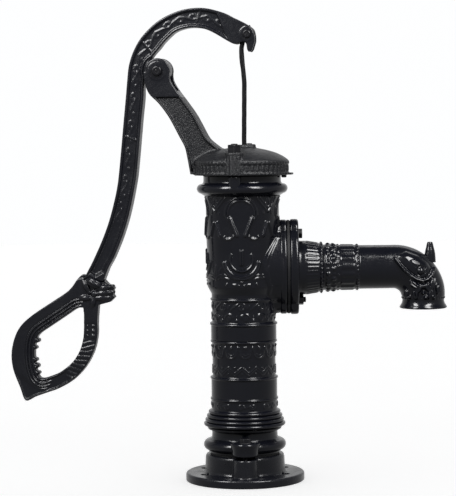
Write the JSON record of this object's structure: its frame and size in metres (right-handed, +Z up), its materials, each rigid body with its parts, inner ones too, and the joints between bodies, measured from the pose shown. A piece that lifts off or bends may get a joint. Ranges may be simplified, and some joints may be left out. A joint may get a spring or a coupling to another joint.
{
  "type": "hand well pump",
  "caption": "Cast-iron hand well pump: ornamented barrel on a round foot, bent flanged spout, capped head with a bracket and a long hooked lever ending in a loop grip, rod, piston and foot valve",
  "frame": {"origin": "centre of the foot's underside, on the barrel axis", "axes": "+Z up along the barrel, +X toward the spout, the handle hangs on the -X side (turned 11 degrees to the back)"},
  "size_m": [0.6054, 0.163, 0.6476],
  "materials": {
    "iron": "gloss black paint over casting",
    "satin_iron": "satin black paint over grainy casting",
    "raw_iron": "bare casting",
    "steel": "dull zinc",
    "brass": "machined",
    "leather": "oiled",
    "rubber": "matte"
  },
  "bodies": {
    "stand": {"base_flange": "iron", "foot_gasket": "leather", "foot_bolts": "iron", "cylinder_body": "iron", "spout_gasket": "rubber", "spout": "iron", "spout_bolt": "iron", "spout_stud": "iron", "spout_nut": "iron", "cover": "satin_iron", "cover_studs": "iron", "cover_nuts": "iron", "fulcrum_pin": "steel", "fulcrum_washer": "steel", "fulcrum_cotter": "steel"},
    "lever_arm": {"lever": "iron", "rod_pin": "steel", "rod_washer": "steel", "rod_cotter": "steel"},
    "rod": {"piston_rod": "iron", "rod_locknut": "steel", "rod_end": "steel", "foot_pin": "steel"},
    "piston": {"piston_cage": "brass", "piston_screws": "steel", "piston_body": "brass", "piston_cup": "leather"},
    "valve": {"piston_valve": "brass"},
    "flap": {"foot_flap": "leather", "foot_weight": "raw_iron", "foot_screw": "steel"}
  },
  "joints": [
    {"name": "lever_swing", "type": "hinge", "parent": "stand", "child": "lever_arm", "pos_m": [-0.11191, 0.02175, 0.5626], "axis": [0.1908, 0.9816, 0], "range_deg": [0, 40]},
    {"name": "rod_swing", "type": "hinge", "parent": "lever_arm", "child": "rod", "pos_m": [0.01001, -0.00195, 0.6109], "axis": [0.1908, 0.9816, 0], "range_deg": [-40.5, 0.5]},
    {"name": "piston_slide", "type": "slide", "parent": "stand", "child": "piston", "axis": [0, 0, -1], "range_m": [-0.0005, 0.092]},
    {"name": "valve_lift", "type": "slide", "parent": "piston", "child": "valve", "axis": [0, 0, 1], "range_m": [0, 0.008]},
    {"name": "flap_lift", "type": "hinge", "parent": "stand", "child": "flap", "pos_m": [-0.0315, 0, 0.0373], "axis": [0, -1, 0], "range_deg": [0, 35]}
  ],
  "couplings": [
    {"joint": "rod_swing", "follows": "lever_swing", "ratio": -1},
    {"joint": "piston_slide", "follows": "lever_swing", "m_per_rad": 0.1305}
  ]
}
